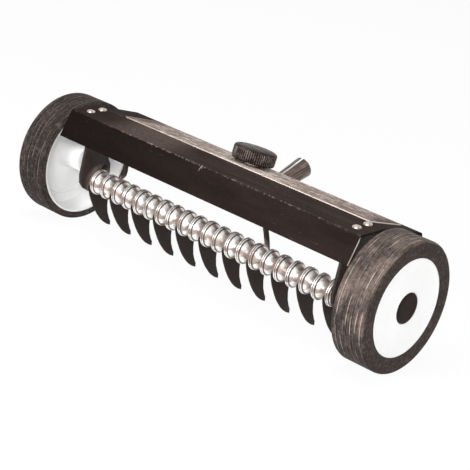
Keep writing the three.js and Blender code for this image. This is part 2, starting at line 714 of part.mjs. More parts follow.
function strapSections() {
  const middle = STRAP_TOP - STRAP_THICKNESS / 2;
  const flat = { wide: STRAP_WIDTH / 2, high: STRAP_THICKNESS / 2, corner: STRAP_CORNER_SHARE };
  const bend = LABEL_FACE.at(KNOB_ALONG + STRAP_TRAIL + STRAP_BEND, middle);
  const foot = onSocket(SOCKET_LENGTH * SOCKET_BEND_SHARE);
  const fall = (share) => bend.map((value, i) => value + (foot[i] - value) * share);
  const fallUp = unit([bend[1] - foot[1], foot[0] - bend[0]]);
  const between = (a, b) => unit([a[0] + b[0], a[1] + b[1]]);
  const [swellWide, swellHigh, swellCorner] = SOCKET_SWELL_SHARES;
  const [throatWide, throatHigh, throatCorner] = SOCKET_THROAT_SHARES;
  return [
    { ...flat, centre: LABEL_FACE.at(KNOB_ALONG - STRAP_LEAD, middle), up: LABEL_FACE.up },
    { ...flat, centre: LABEL_FACE.at(KNOB_ALONG + STRAP_TRAIL, middle), up: LABEL_FACE.up },
    { ...flat, centre: fall(STRAP_FALL_START_SHARE), up: between(LABEL_FACE.up, fallUp) },
    {
      centre: fall(STRAP_FALL_END_SHARE), up: between(fallUp, SOCKET_UP), corner: STRAP_CORNER_SHARE,
      wide: flat.wide * STRAP_NARROW_SHARE, high: flat.high * STRAP_THICK_SHARE,
    },
    {
      centre: onSocket(SOCKET_LENGTH * SOCKET_SWELL_SHARE), up: SOCKET_UP, corner: swellCorner,
      wide: flat.wide * swellWide, high: SOCKET_NECK_RADIUS * swellHigh,
    },
    {
      centre: onSocket(SOCKET_LENGTH * SOCKET_THROAT_SHARE), up: SOCKET_UP, corner: throatCorner,
      wide: flat.wide * throatWide, high: SOCKET_NECK_RADIUS * throatHigh,
    },
  ];
}

function handleSocket() {
  const waist = SOCKET_NECK_RADIUS * SOCKET_WAIST_SHARE;
  const outer = [
    ...strapSections(),
    roundSection(1, SOCKET_NECK_RADIUS),
    roundSection(SOCKET_FLARE_SHARE, waist),
    roundSection(0, SOCKET_MOUTH_RADIUS),
  ];
  const beyondShare = -CUT_OVERRUN / SOCKET_LENGTH;
  const flare = (SOCKET_MOUTH_RADIUS - waist) / (SOCKET_LENGTH * SOCKET_FLARE_SHARE);
  const inner = [
    roundSection(SOCKET_BORE_SHARE, SOCKET_NECK_RADIUS - SOCKET_WALL),
    roundSection(SOCKET_FLARE_SHARE, waist - SOCKET_WALL),
    roundSection(beyondShare, SOCKET_MOUTH_RADIUS - SOCKET_WALL + flare * CUT_OVERRUN),
  ];
  const slitStart = SOCKET_LENGTH * SOCKET_SLIT_SHARE;
  const slitTop = SOCKET_MOUTH_RADIUS + CUT_OVERRUN;
  const slitOutline = [
    onSocket(slitStart), onSocket(-CUT_OVERRUN),
    onSocket(-CUT_OVERRUN, slitTop), onSocket(slitStart, slitTop),
  ];
  const slit = prism(slitOutline, [-SOCKET_SLIT / 2, SOCKET_SLIT / 2]);
  const strapBottom = STRAP_TOP - STRAP_THICKNESS;
  const studBore = boreThrough(STUD_RADIUS + STUD_GAP, strapBottom, STRAP_TOP, LABEL_FACE, 0, KNOB_ALONG);
  return joined([lofted(outer)], [lofted(inner), slit, studBore]);
}

// Assembly

const group = new THREE.Group();
group.name = "lawn_aerator";

function place(name, geometry, slot) {
  const plain = geometry.index ? geometry.toNonIndexed() : geometry.clone();
  plain.deleteAttribute("uv");
  plain.computeVertexNormals();
  const mesh = new THREE.Mesh(plain, slot);
  mesh.name = name;
  group.add(mesh);
}

const numbered = (stem, number) => `${stem}_${String(number).padStart(2, "0")}`;

place("deck", deck(), MATERIALS.deckPaint);
place("label_plate", labelPlate(), MATERIALS.label);

[["left", -1], ["right", 1]].forEach(([word, side]) => {
  place(`bracket_${word}`, bracket(side), MATERIALS.bracketPaint);
  place(`rivet_${word}_front`, rivet(side, RIVET_PLACE_SHARES[0]), MATERIALS.rivet);
  place(`rivet_${word}_rear`, rivet(side, RIVET_PLACE_SHARES[1]), MATERIALS.rivet);
  place(`shaft_nut_${word}`, shaftNut(side), MATERIALS.zinc);
  place(`wheel_axle_${word}`, wheelPiece(axleOutline(), side, WHEEL_SIDES), MATERIALS.zinc);
  place(`axle_washer_${word}`, wheelPiece(washerOutline(), side, TUBE_SIDES), MATERIALS.zinc);
  place(`tyre_${word}`, wheelPiece(tyreOutline(), side, WHEEL_SIDES), MATERIALS.tyre);
  place(`rim_${word}`, wheelPiece(rimOutline(), side, WHEEL_SIDES), MATERIALS.rim);
  place(`hub_cap_${word}`, wheelPiece(capOutline(), side, TUBE_SIDES), MATERIALS.cap);
});

place("tine_shaft", tineShaft(), MATERIALS.zinc);

const rowStart = -PLATE_INNER_X + ROW_GAP;
for (let i = 0; i < TINE_COUNT; i += 1) {
  place(numbered("tine", i + 1), tine(rowStart + PITCH * i), MATERIALS.tineSteel);
}
for (let i = 0; i < SPOOL_COUNT; i += 1) {
  const afterTine = rowStart + PITCH * Math.floor(i / SPOOLS_PER_TINE) + TINE_THICKNESS + ROW_GAP;
  const from = afterTine + (i % SPOOLS_PER_TINE) * (SPOOL_LENGTH + ROW_GAP);
  place(numbered("spool", i + 1), spool(from), MATERIALS.spool);
}

place("stay_left", stay(0), MATERIALS.bracketPaint);
place("stay_right", stay(1), MATERIALS.bracketPaint);
place("handle_socket", handleSocket(), MATERIALS.socket);
place("knob", knob(), MATERIALS.knob);
place("knob_stud", knobStud(), MATERIALS.zinc);
place("clamp_nut", clampNut(), MATERIALS.zinc);

// Floor at zero, box centred on the origin
const box = new THREE.Box3().setFromObject(group);
const boxMiddle = box.getCenter(new THREE.Vector3());
group.children.forEach((mesh) => mesh.geometry.translate(-boxMiddle.x, -boxMiddle.y, -box.min.z));

export default group;
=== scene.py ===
# Looks of the rolling lawn aerator head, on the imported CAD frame. Lengths are in metres.
import json
import math

import bmesh
import bpy
from mathutils import Matrix, Vector


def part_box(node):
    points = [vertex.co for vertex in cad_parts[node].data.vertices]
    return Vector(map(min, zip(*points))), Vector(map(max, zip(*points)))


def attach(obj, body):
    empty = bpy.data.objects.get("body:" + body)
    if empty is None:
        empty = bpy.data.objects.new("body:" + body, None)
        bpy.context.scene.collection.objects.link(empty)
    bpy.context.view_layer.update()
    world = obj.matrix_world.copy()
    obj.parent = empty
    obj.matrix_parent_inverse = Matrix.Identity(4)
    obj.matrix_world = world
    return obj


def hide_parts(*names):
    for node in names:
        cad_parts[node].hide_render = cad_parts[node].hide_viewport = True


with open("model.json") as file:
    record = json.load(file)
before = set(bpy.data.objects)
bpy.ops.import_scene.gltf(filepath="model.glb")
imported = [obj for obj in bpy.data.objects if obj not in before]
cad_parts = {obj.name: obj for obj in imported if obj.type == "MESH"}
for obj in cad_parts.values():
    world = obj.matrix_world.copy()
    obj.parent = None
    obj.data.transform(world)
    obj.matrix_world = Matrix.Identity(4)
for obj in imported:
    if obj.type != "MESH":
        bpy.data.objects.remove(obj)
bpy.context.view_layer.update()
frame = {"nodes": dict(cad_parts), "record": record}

NODES = frame["nodes"]
MM = 0.001
FULL_TURN = 2 * math.pi

# Camera fitted to the photograph, from the middle of the wheel axle
CAMERA_FROM_AXLE = (0.856945, -1.058660, 0.418190)
CAMERA_RIGHT = (0.73039454, 0.6552682, 0.19273661)
CAMERA_UP = (-0.34037149, 0.10453804, 0.9344619)
CAMERA_BACK = (0.59217487, -0.74812792, 0.29938862)
CAMERA_LENS = 119.38
CAMERA_SENSOR = 36
CAMERA_REACH = 100

# Studio: lamps as name, place, side and watts
WORLD_LIGHT = 0.44
FLOOR_OWN_WHITE_SHARE = 0.93
FLOOR_HALF = 20
LAMP_TARGET = Vector((0, 0, 0.05))
LAMPS = (
    ("key", (2.5, -3.3, 1.7), 1.1, 88),
    ("fill", (0.05, -0.95, 0.3), 0.3, 7),
    ("top", (-0.2, -0.5, 1.7), 0.9, 12),
    ("back", (0.2, 1.4, 1.2), 1.2, 3),
)

# CAD nodes that stay: weld, flat faces joined, edges eased
WELD_REACH = 0.01 * MM
FLAT_ANGLE = math.radians(0.6)
EASED_ANGLE = math.radians(40)
EASED_EDGE = 0.3 * MM
EASED_EDGES = {"deck": 0.35 * MM, "label_plate": 0.15 * MM, "knob_stud": 0.2 * MM, "handle_socket": 0.2 * MM}

# Turned and moulded meshes
SHARP_ANGLE = math.radians(35)
MERGE_REACH = 1e-7
BEAD_SIDES = 56
TYRE_SIDES = 144
RIM_SIDES = 96
CAP_SIDES = 64
RIVET_SIDES = 40

# Wheels: the box from the CAD node; edges of rim, disc, hub and cap as shares of the wheel's radius
TYRE_LOW, TYRE_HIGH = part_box("tyre_left")
AXLE = Vector((0, (TYRE_LOW.y + TYRE_HIGH.y) / 2, (TYRE_LOW.z + TYRE_HIGH.z) / 2))
WHEEL_RADIUS = (TYRE_HIGH.z - TYRE_LOW.z) / 2
WHEEL_WIDTH = TYRE_HIGH.x - TYRE_LOW.x
WHEEL_INNER_X = -TYRE_HIGH.x
TYRE_SEAT = WHEEL_RADIUS * 0.898
DISC_RADIUS = WHEEL_RADIUS * 0.747
HUB_RADIUS = WHEEL_RADIUS * 0.217
CAP_RADIUS = WHEEL_RADIUS * 0.232
AXLE_BORE = 5.08 * MM
WHEEL_GAP = 0.2 * MM
TREAD_GROOVES = 5
TREAD_PITCH = 0.15
GROOVE_WIDTH = 0.9 * MM
GROOVE_DEPTH = 0.35 * MM

# Beads: rows of (share of the length, share of the radius); the dark turned lines lie at shares of the length
SPOOL_LOW, SPOOL_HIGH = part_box("spool_01")
SPOOL_LENGTH = SPOOL_HIGH.x - SPOOL_LOW.x
SPOOL_RADIUS = (SPOOL_HIGH.z - SPOOL_LOW.z) / 2
SHAFT = Vector((0, (SPOOL_LOW.y + SPOOL_HIGH.y) / 2, (SPOOL_LOW.z + SPOOL_HIGH.z) / 2))
SPOOL_LINES = (0.012, 0.125, 0.27)
SPOOL_RING = 0.27
SPOOL_SHAPE = (
    (0.0, 0.34), (0.0, 0.95), (0.012, 0.975), (0.035, 0.995), (0.06, 1.0), (0.085, 0.99), (0.105, 0.955),
    (0.125, 0.935), (0.145, 0.95), (0.165, 0.975), (0.19, 0.985), (0.22, 0.97), (0.245, 0.935),
    (0.27, 0.88), (0.3, 0.85), (0.36, 0.795), (0.43, 0.74), (0.5, 0.695), (0.57, 0.66), (0.64, 0.635),
    (0.72, 0.615), (0.82, 0.605), (0.92, 0.605), (1.0, 0.615), (1.0, 0.34),
)

# Deck section: fold and ridge lines and the rear edge; a nick on the fold as strokes of (lean, length)
FOLD = AXLE + Vector((0, -36.4, 55.7)) * MM
RIDGE = AXLE + Vector((0, -4.1, 58.0)) * MM
REAR_EDGE = AXLE + Vector((0, 56.6, 47.7)) * MM
SLOPE = (REAR_EDGE - RIDGE).normalized()
LABEL_NORMAL = Vector((0, -SLOPE.z, SLOPE.y))
LABEL_LOW, LABEL_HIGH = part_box("label_plate")
NICK_X = -5 * MM
NICK_STROKES = ((-0.2, 6 * MM), (0.7, 3 * MM))

# Rivets: place on the top strip as a share from fold to ridge, and size of the head
RIVET_SHARES = {"front": 0.362, "rear": 0.83}
RIVET_REACH = 4.1 * MM
RIVET_HEIGHT = 1.9 * MM

# Clamp knob: heights from the label plate and the place of its middle
KNOB_RIBS = 60
KNOB_RIB_STEPS = 6
KNOB_RIB_DEPTH = 0.75 * MM
KNOB_FOOT = 1.05 * MM
KNOB_BASE = 3.4 * MM
KNOB_TOP = 18.2 * MM
KNOB_RADIUS = 20.6 * MM
KNOB_FROM_AXLE = 26.5 * MM

# Handle socket: mouth, direction, length of the flare and the middle of its wall there and behind it
SOCKET_TILT = math.radians(23)
SOCKET_MOUTH = AXLE + Vector((0, 105.6, 45.3)) * MM
SOCKET_RUN = Vector((0, math.cos(SOCKET_TILT), math.sin(SOCKET_TILT)))
SOCKET_UP = Vector((0, -SOCKET_RUN.z, SOCKET_RUN.y))
SOCKET_FLARE = 22 * MM
SOCKET_WALL_RADII = (9.3 * MM, 8.05 * MM)


# Node graphs

class Graph:
    """A material's node graph, with short calls for the nodes used here."""

    def __init__(self, name):
        self.material = bpy.data.materials.new(name)
        self.material.use_nodes = True
        self.tree = self.material.node_tree
        self.shader = self.tree.nodes["Principled BSDF"]
        self.place = self.add("ShaderNodeTexCoord").outputs["Object"]
        self.facing = self.add("ShaderNodeTexCoord").outputs["Normal"]

    def add(self, kind, **settings):
        node = self.tree.nodes.new(kind)
        for key, value in settings.items():
            setattr(node, key, value)
        return node

    def put(self, socket, value):
        """A link where the value is a socket, else the socket's own value."""
        if isinstance(value, bpy.types.NodeSocket):
            self.tree.links.new(value, socket)
        else:
            socket.default_value = value

    def stretched(self, scale):
        node = self.add("ShaderNodeMapping")
        self.put(node.inputs["Vector"], self.place)
        node.inputs["Scale"].default_value = scale
        return node.outputs["Vector"]

    def axes(self, vector=None):
        node = self.add("ShaderNodeSeparateXYZ")
        self.put(node.inputs[0], vector or self.place)
        return node.outputs

    def joined(self, x, y, z):
        node = self.add("ShaderNodeCombineXYZ")
        for socket, value in zip(node.inputs, (x, y, z)):
            self.put(socket, value)
        return node.outputs[0]

    def noise(self, vector, scale, detail=3, rough=0.55):
        node = self.add("ShaderNodeTexNoise")
        self.put(node.inputs["Vector"], vector)
        node.inputs["Scale"].default_value = scale
        node.inputs["Detail"].default_value = detail
        node.inputs["Roughness"].default_value = rough
        return node.outputs["Fac"]

    def calc(self, kind, a, b=0.0):
        node = self.add("ShaderNodeMath", operation=kind)
        self.put(node.inputs[0], a)
        self.put(node.inputs[1], b)
        return node.outputs[0]

    def plus(self, a, b):
        return self.calc("ADD", a, b)

    def minus(self, a, b):
        return self.calc("SUBTRACT", a, b)

    def times(self, a, *others):
        for other in others:
            a = self.calc("MULTIPLY", a, other)
        return a

    def gap(self, a, b=0.0):
        """Distance between two values, or of one from zero."""
        return self.calc("ABSOLUTE", self.minus(a, b) if b else a)

    def squares(self, a, b):
        return self.plus(self.times(a, a), self.times(b, b))

    def length(self, a, b):
        return self.calc("SQRT", self.squares(a, b))

    def along(self, y, z, direction):
        """Share of a place along a direction that lies across X."""
        return self.plus(self.times(y, direction.y), self.times(z, direction.z))

    def line_distance(self, y, z, point):
        """Distance from a line along X through a point."""
        return self.length(self.minus(y, point.y), self.minus(z, point.z))

    def between(self, value, low, high, bottom=0.0, top=1.0):
        """Smooth step from bottom to top while the value goes from low to high."""
        node = self.add("ShaderNodeMapRange", interpolation_type="SMOOTHSTEP")
        self.put(node.inputs["Value"], value)
        node.inputs["From Min"].default_value = low
        node.inputs["From Max"].default_value = high
        node.inputs["To Min"].default_value = bottom
        node.inputs["To Max"].default_value = top
        return node.outputs["Result"]

    def mix(self, share, a, b):
        node = self.add("ShaderNodeMix", data_type="RGBA")
        self.put(node.inputs[0], share)
        self.put(node.inputs[6], a)
        self.put(node.inputs[7], b)
        return node.outputs[2]

    def blend(self, field, low, high, a, b):
        """First tone where the field is low, second where it is high."""
        return self.mix(self.between(field, low, high), a, b)

    def bump(self, height, depth, strength=1.0):
        node = self.add("ShaderNodeBump")
        self.put(node.inputs["Height"], height)
        node.inputs["Distance"].default_value = depth
        node.inputs["Strength"].default_value = strength
        self.put(self.shader.inputs["Normal"], node.outputs["Normal"])

    def finish(self, colour, gloss, metal=None, specular=None):
        self.put(self.shader.inputs["Base Color"], colour)
        self.put(self.shader.inputs["Roughness"], gloss)
        if metal is not None:
            self.shader.inputs["Metallic"].default_value = metal
        if specular is not None:
            self.shader.inputs["Specular IOR Level"].default_value = specular


def rgb(red, green, blue):
    """Linear colour of an 8-bit screen colour."""
    def linear(level):
        share = level / 255
        return share / 12.92 if share <= 0.04045 else ((share + 0.055) / 1.055) ** 2.4
    return (linear(red), linear(green), linear(blue), 1)


# Materials: wear and dust are noise fields, cut at shares and laid over the base tone

def deck_paint():
    """Dark paint: a painted highlight on the top strip, painted shade towards the skirt's left end, a broken
    wear line and a nick on the fold, bare cut ends.
    """
    graph = Graph("deck_paint")
    x, y, z = graph.axes()
    facing = graph.axes(graph.facing)
    cloud = graph.noise(graph.stretched((14, 60, 60)), 1, 4)
    grain = graph.noise(graph.place, 750, 3, 0.65)
    broken = graph.noise(graph.stretched((260, 20, 20)), 1, 6, 0.8)
    stray = graph.noise(graph.stretched((380, 60, 60)), 1, 3, 0.7)
    bare = rgb(150, 134, 126)
    top = graph.between(facing[2], 0.6, 0.95)

    skirt = graph.blend(cloud, 0.3, 0.7, rgb(29, 22, 20), rgb(38, 30, 27))
    # painted shade: the skirt darker towards its left end
    skirt = graph.mix(graph.between(x, -170 * MM, 130 * MM, 0.75, 0), skirt, rgb(12, 9, 8))
    strip = graph.blend(cloud, 0.35, 0.65, rgb(41, 33, 30), rgb(54, 45, 42))
    strip = graph.mix(graph.between(x, -155 * MM, -115 * MM, 0.6, 0), strip, rgb(26, 20, 18))
    paint = graph.mix(top, skirt, strip)

    # painted highlight: a paler grainy patch on the top strip
    painted_sheen_reach = graph.between(graph.gap(x, -85 * MM), 15 * MM, 55 * MM, 1, 0)
    painted_sheen = graph.times(painted_sheen_reach, top, graph.between(grain, 0.42, 0.58, 0.3, 1))
    paint = graph.mix(painted_sheen, paint, rgb(88, 76, 71))
    speck = graph.times(graph.between(grain, 0.5, 0.7, 0, 0.35), graph.between(top, 0, 1, 0.2, 1))
    paint = graph.mix(speck, paint, rgb(82, 70, 66))

    from_fold = graph.plus(
        graph.line_distance(y, z, FOLD),
        graph.between(stray, 0.3, 0.7, -0.8 * MM, 1.4 * MM),
    )
    worn = graph.times(
        graph.between(from_fold, 0.4 * MM, 1 * MM, 1, 0),
        graph.between(broken, 0.42, 0.6, 0.15, 1),
        graph.between(x, 90 * MM, 130 * MM, 0.65, 0.3),
        graph.between(x, -130 * MM, -80 * MM, 0.15, 1),
    )
    paint = graph.mix(worn, paint, bare)

    below = graph.minus(FOLD.z, z)
    for lean, length in NICK_STROKES:
        across = graph.minus(graph.minus(x, NICK_X), graph.times(below, lean))
        stroke = graph.times(
            graph.between(graph.gap(across), 0.2 * MM, 0.5 * MM, 0.8, 0),
            graph.between(below, length * 0.5, length, 1, 0),
            graph.between(y, FOLD.y + 1 * MM, FOLD.y + 2 * MM, 1, 0),
        )
        paint = graph.mix(stroke, paint, bare)

    from_ridge = graph.line_distance(y, z, RIDGE)
    rubbed = graph.times(
        graph.between(from_ridge, 0.4 * MM, 0.9 * MM, 1, 0),
        graph.between(broken, 0.45, 0.6, 0, 0.4),
    )
    paint = graph.mix(rubbed, paint, rgb(120, 106, 100))
    scratch = graph.between(graph.noise(graph.stretched((70, 480, 1800)), 1, 2), 0.72, 0.76, 0, 0.5)
    paint = graph.mix(scratch, paint, rgb(116, 102, 96))
    cut_end = graph.times(
        graph.between(graph.gap(facing[0]), 0.7, 0.95),
        graph.between(y, FOLD.y - 1 * MM, FOLD.y, 1, 0),
    )
    paint = graph.mix(cut_end, paint, rgb(230, 218, 210))
    graph.finish(paint, graph.between(cloud, 0.3, 0.7, 0.7, 0.82), specular=0.02)
    graph.bump(graph.plus(grain, cloud), 0.14 * MM, 0.6)
    return graph.material


def label_foil():
    """Mottled taupe foil with a pale edge band painted as a highlight, and darker ends."""
    graph = Graph("label_foil")
    x, y, _ = graph.axes()
    inset_x = graph.calc("MINIMUM", graph.minus(LABEL_HIGH.x, x), graph.minus(x, LABEL_LOW.x))
    inset_y = graph.calc("MINIMUM", graph.minus(y, LABEL_LOW.y), graph.minus(LABEL_HIGH.y, y))
    inset = graph.calc("MINIMUM", inset_x, inset_y)
    cloud = graph.noise(graph.stretched((30, 24, 24)), 1, 5, 0.65)
    patch = graph.noise(graph.stretched((85, 150, 150)), 1, 5, 0.8)
    fine = graph.noise(graph.stretched((420, 520, 520)), 1, 3, 0.7)
    line = graph.noise(graph.stretched((60, 520, 520)), 1, 3, 0.7)

    middle = graph.between(graph.gap(x, 10 * MM), 15 * MM, 100 * MM, 1, 0)
    field = graph.mix(middle, rgb(150, 133, 124), rgb(214, 199, 189))
    field = graph.mix(graph.between(cloud, 0.4, 0.65, 0, 0.5), field, rgb(138, 122, 114))
    field = graph.mix(graph.between(patch, 0.5, 0.555, 0, 0.64), field, rgb(106, 89, 80))
    field = graph.mix(graph.between(patch, 0.485, 0.44, 0, 0.68), field, rgb(226, 212, 203))
    field = graph.mix(graph.between(fine, 0.5, 0.6, 0, 0.6), field, rgb(98, 82, 74))
    field = graph.mix(graph.between(line, 0.52, 0.58, 0, 0.6), field, rgb(108, 91, 83))
    dark_end = graph.times(
        graph.between(inset_x, 5 * MM, 24 * MM, 1, 0),
        graph.between(cloud, 0.34, 0.5, 0.4, 1),
    )
    field = graph.mix(dark_end, field, rgb(80, 63, 56))
    # painted highlight: a pale strip along the label's edges, stronger to the right
    painted_edge_highlight = graph.times(
        graph.between(inset, 1.5 * MM, 1.1 * MM),
        graph.between(x, -120 * MM, 60 * MM, 0.45, 0.9),
    )
    field = graph.mix(painted_edge_highlight, field, rgb(222, 208, 199))
    graph.finish(field, graph.between(fine, 0.3, 0.7, 0.48, 0.64), specular=0.06)
    graph.bump(graph.plus(fine, patch), 0.12 * MM, 0.6)
    return graph.material


def dusty_paint(name, low, high, dust_tone):
    """Flat dark paint with a cloudy tone and pale dust specks: its graph, tone and cloud."""
    graph = Graph(name)
    cloud = graph.noise(graph.place, 60, 4)
    dust = graph.noise(graph.place, 420, 3, 0.7)
    paint = graph.blend(cloud, 0.3, 0.7, low, high)
    paint = graph.mix(graph.between(dust, 0.62, 0.74, 0, 0.7), paint, dust_tone)
    graph.bump(dust, 0.1 * MM, 0.6)
    return graph, paint, cloud


def bracket_paint():
    """Dusty paint, rubbed brown round the shaft."""
    graph, paint, cloud = dusty_paint("bracket_paint", rgb(38, 30, 27), rgb(52, 43, 39), rgb(96, 84, 78))
    _, y, z = graph.axes()
    from_shaft = graph.line_distance(y, z, SHAFT)
    rubbed = graph.times(
        graph.between(from_shaft, SPOOL_RADIUS * 1.05, SPOOL_RADIUS * 1.5, 0.8, 0),
        graph.between(cloud, 0.35, 0.6, 0.2, 1),
    )
    paint = graph.mix(rubbed, paint, rgb(134, 116, 107))
    graph.finish(paint, graph.between(cloud, 0.3, 0.7, 0.5, 0.68), specular=0.2)
    return graph.material


def tine_steel():
    """Dusty paint, rubbed to bare brownish metal on the eye between the beads."""
    graph, paint, cloud = dusty_paint("tine_black", rgb(36, 28, 26), rgb(48, 39, 36), rgb(100, 88, 82))
    _, y, z = graph.axes()
    from_shaft = graph.line_distance(y, z, SHAFT)
    eye = graph.times(
        graph.between(from_shaft, SPOOL_RADIUS * 0.9, SPOOL_RADIUS * 0.94),
        graph.between(z, SHAFT.z - SPOOL_RADIUS * 0.3, SHAFT.z),
    )
    paint = graph.mix(eye, paint, rgb(128, 112, 104))
    graph.finish(paint, graph.between(cloud, 0.3, 0.7, 0.5, 0.68), specular=0.15)
    return graph.material


def polished_bead():
    """Bright turned metal: bright and dark stripes and dark blotches round the bead painted as reflections, a
    darker ring, painted shade in the hollow between beads, dark turned lines.
    """
    graph = Graph("spool_aluminium")
    x, y, z = graph.axes()
    radius = graph.length(y, z)
    own_place = graph.add("ShaderNodeVectorMath", operation="ADD")
    graph.put(own_place.inputs[0], graph.place)
    graph.put(own_place.inputs[1], graph.add("ShaderNodeObjectInfo").outputs["Location"])
    blotch = graph.noise(own_place.outputs[0], 110, 3, 0.55)
    rings = graph.noise(graph.joined(graph.times(x, 1700), 0.0, 0.0), 1, 2)

    # painted reflections: four bright and dark stripes round the bead, warped per bead
    angle = graph.plus(graph.calc("ARCTAN2", z, y), graph.between(blotch, 0.3, 0.7, -0.35, 0.35))
    painted_reflection_bands = graph.calc("COSINE", graph.times(graph.minus(angle, math.radians(138)), 4))
    tone = graph.blend(painted_reflection_bands, -0.9, 0.2, rgb(164, 149, 141), rgb(255, 252, 249))
    # painted reflection: dark blotches on the beads
    tone = graph.mix(graph.between(blotch, 0.54, 0.7, 0, 0.5), tone, rgb(146, 129, 120))
    tone = graph.mix(graph.between(rings, 0.5, 0.7, 0, 0.3), tone, rgb(140, 126, 118))
    # painted shade: darker towards the small radius of the hollow between beads
    painted_valley_shade = graph.between(radius, SPOOL_RADIUS * 0.6, SPOOL_RADIUS * 0.76, 0.8, 0)
    tone = graph.mix(painted_valley_shade, tone, rgb(104, 88, 80))
    ring = graph.times(
        graph.between(x, SPOOL_LENGTH * SPOOL_RING, SPOOL_LENGTH * (SPOOL_RING + 0.04), 0.5, 0),
        graph.between(radius, SPOOL_RADIUS * 0.985, SPOOL_RADIUS * 0.94),
    )
    tone = graph.mix(ring, tone, rgb(118, 101, 92))
    for share in SPOOL_LINES:
        from_line = graph.gap(x, SPOOL_LENGTH * share)
        line = graph.between(from_line, SPOOL_LENGTH * 0.016, SPOOL_LENGTH * 0.04, 0.85, 0)
        tone = graph.mix(line, tone, rgb(72, 58, 52))
    graph.finish(tone, graph.between(blotch, 0.35, 0.65, 0.26, 0.38), metal=0.35)
    graph.bump(rings, 0.05 * MM, 0.5)
    return graph.material


def zinc_steel():
    """Zinc plate; the stub axles' inner ends, flush in the brackets, are darker."""
    graph = Graph("zinc_steel")
    cloud = graph.noise(graph.place, 240, 4)
    from_middle = graph.gap(graph.axes()[0])
    darker_ends = graph.times(
        graph.between(from_middle, 150 * MM, 152 * MM),
        graph.between(from_middle, 158.5 * MM, 159.2 * MM, 1, 0),
    )
    plated = graph.mix(cloud, rgb(150, 142, 136), rgb(188, 180, 174))
    tone = graph.mix(darker_ends, plated, rgb(46, 38, 35))
    graph.finish(tone, graph.between(cloud, 0.3, 0.7, 0.3, 0.5), metal=1.0)
    graph.bump(cloud, 0.06 * MM, 0.4)
    return graph.material


def rivet_aluminium():
    graph = Graph("rivet_aluminium")
    cloud = graph.noise(graph.place, 620, 3)
    graph.finish(graph.blend(cloud, 0.4, 0.6, rgb(138, 124, 117), rgb(208, 197, 190)), 0.36, metal=0.5)
    graph.bump(cloud, 0.16 * MM, 0.6)
    return graph.material


def tyre_rubber():
    """Dusty rubber: plain walls, a tread with worn streaks, arcs on its ridges and painted shade that darkens
    the right tread's low side.
    """
    graph = Graph("tyre_rubber")
    x, y, z = graph.axes()
    angle = graph.calc("ARCTAN2", z, y)
    cosine = graph.calc("COSINE", angle)
    sine = graph.calc("SINE", angle)
    streak = graph.noise(graph.joined(graph.times(x, 420), cosine, sine), 2.2, 5, 0.7)
    arc_place = graph.joined(graph.times(x, 260), graph.times(cosine, 2.2), graph.times(sine, 2.2))
    arc = graph.noise(arc_place, 1, 3)
    patch = graph.noise(graph.place, 55, 5, 0.65)
    mottle = graph.noise(graph.place, 300, 4, 0.75)
    speck = graph.noise(graph.place, 900, 3, 0.7)
    tread = graph.between(graph.length(y, z), WHEEL_RADIUS * 0.96, WHEEL_RADIUS * 0.985)
    right = graph.between(x, -50 * MM, 50 * MM)
    # painted shade: the right tread darker towards the bottom, paler on top
    painted_top_light = graph.between(z, -40 * MM, 30 * MM)
    rubbed = graph.times(graph.between(z, -45 * MM, 0, 0.35, 1), tread)

    wall = graph.blend(patch, 0.35, 0.65, rgb(42, 34, 31), rgb(62, 52, 47))
    # the left tyre's tread is darker than the right's
    left_tread = graph.blend(patch, 0.35, 0.65, rgb(22, 17, 15), rgb(34, 27, 25))
    right_dark = graph.mix(painted_top_light, rgb(30, 24, 22), rgb(56, 47, 43))
    right_pale = graph.mix(painted_top_light, rgb(58, 49, 45), rgb(98, 86, 79))
    right_tread = graph.blend(patch, 0.38, 0.62, right_dark, right_pale)
    rubber = graph.mix(tread, wall, graph.mix(right, left_tread, right_tread))

    lines = graph.times(graph.between(streak, 0.53, 0.62, 0, 0.75), rubbed)
    rubber = graph.mix(lines, rubber, graph.mix(right, rgb(74, 63, 58), rgb(130, 115, 108)))
    dark = graph.times(graph.between(streak, 0.47, 0.38, 0, 0.6), tread)
    rubber = graph.mix(dark, rubber, rgb(36, 29, 26))
    from_inside = graph.minus(graph.gap(x), WHEEL_INNER_X)
    ridge = graph.calc("COSINE", graph.times(from_inside, FULL_TURN / (WHEEL_WIDTH * TREAD_PITCH)))
    worn = graph.times(graph.between(ridge, 0.86, 0.97), graph.between(arc, 0.48, 0.58, 0, 0.85), rubbed)
    rubber = graph.mix(worn, rubber, graph.mix(right, rgb(104, 92, 86), rgb(178, 163, 154)))
    rubber = graph.mix(graph.between(mottle, 0.5, 0.62, 0, 0.5), rubber, rgb(32, 25, 23))
    rubber = graph.mix(graph.between(mottle, 0.47, 0.36, 0, 0.3), rubber, rgb(116, 102, 95))
    rubber = graph.mix(graph.between(speck, 0.58, 0.7, 0, 0.5), rubber, rgb(138, 124, 116))
    graph.finish(rubber, graph.between(patch, 0.3, 0.7, 0.62, 0.82), specular=0.2)
    graph.bump(graph.plus(mottle, graph.times(streak, tread, 1.5)), 0.3 * MM, 0.7)
    return graph.material


def plain_moulding(name, low, high, rough, grain, specular=0.5):
    """Moulded plastic: a soft two-tone cloud and a fine skin."""
    graph = Graph(name)
    cloud = graph.noise(graph.place, 45, 4)
    skin = graph.noise(graph.place, grain, 2)
    tone = graph.blend(cloud, 0.3, 0.7, low, high)
    graph.finish(tone, graph.between(skin, 0.3, 0.7, rough, rough + 0.12), specular=specular)
    graph.bump(skin, 0.06 * MM, 0.5)
    return graph.material


